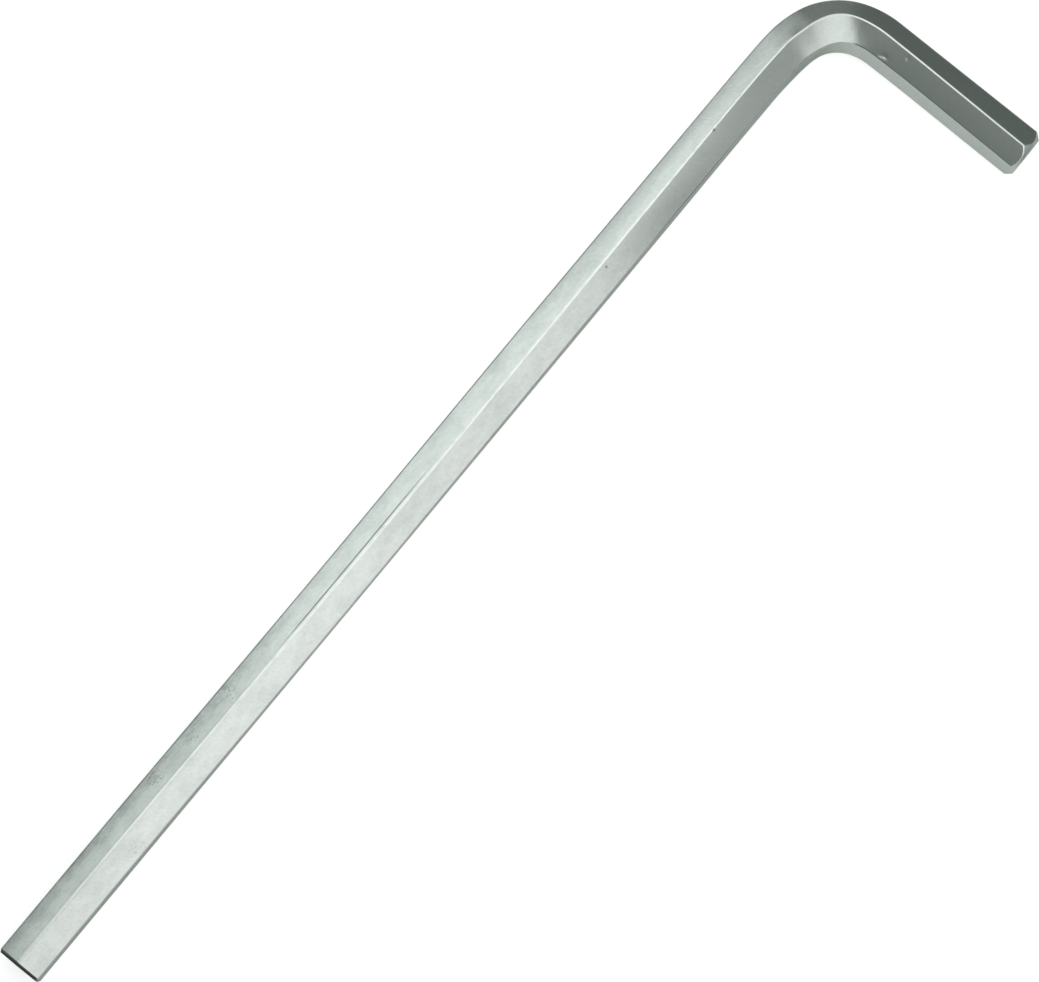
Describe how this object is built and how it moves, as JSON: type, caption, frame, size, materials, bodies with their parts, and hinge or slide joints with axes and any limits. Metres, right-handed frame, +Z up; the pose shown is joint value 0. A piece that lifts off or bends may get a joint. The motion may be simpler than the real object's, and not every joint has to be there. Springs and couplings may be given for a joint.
{
  "type": "hex key",
  "caption": "L-shaped hexagon key with a long arm, a short arm with a turned tip chamfer, and a rounded right-angle bend.",
  "frame": {"origin": "middle of the bounding box in plan, at the level the key lies on", "axes": "+X along the long arm to its free end, +Y along the short arm to its tip, +Z up, square to the plane of the bend"},
  "size_m": [0.192, 0.042, 0.0079],
  "materials": {
    "plated_steel": "satin nickel plating over a drawn bar, with fine draw lines along the arms"
  },
  "bodies": {
    "root": {"hex_key": "plated_steel"}
  },
  "joints": []
}
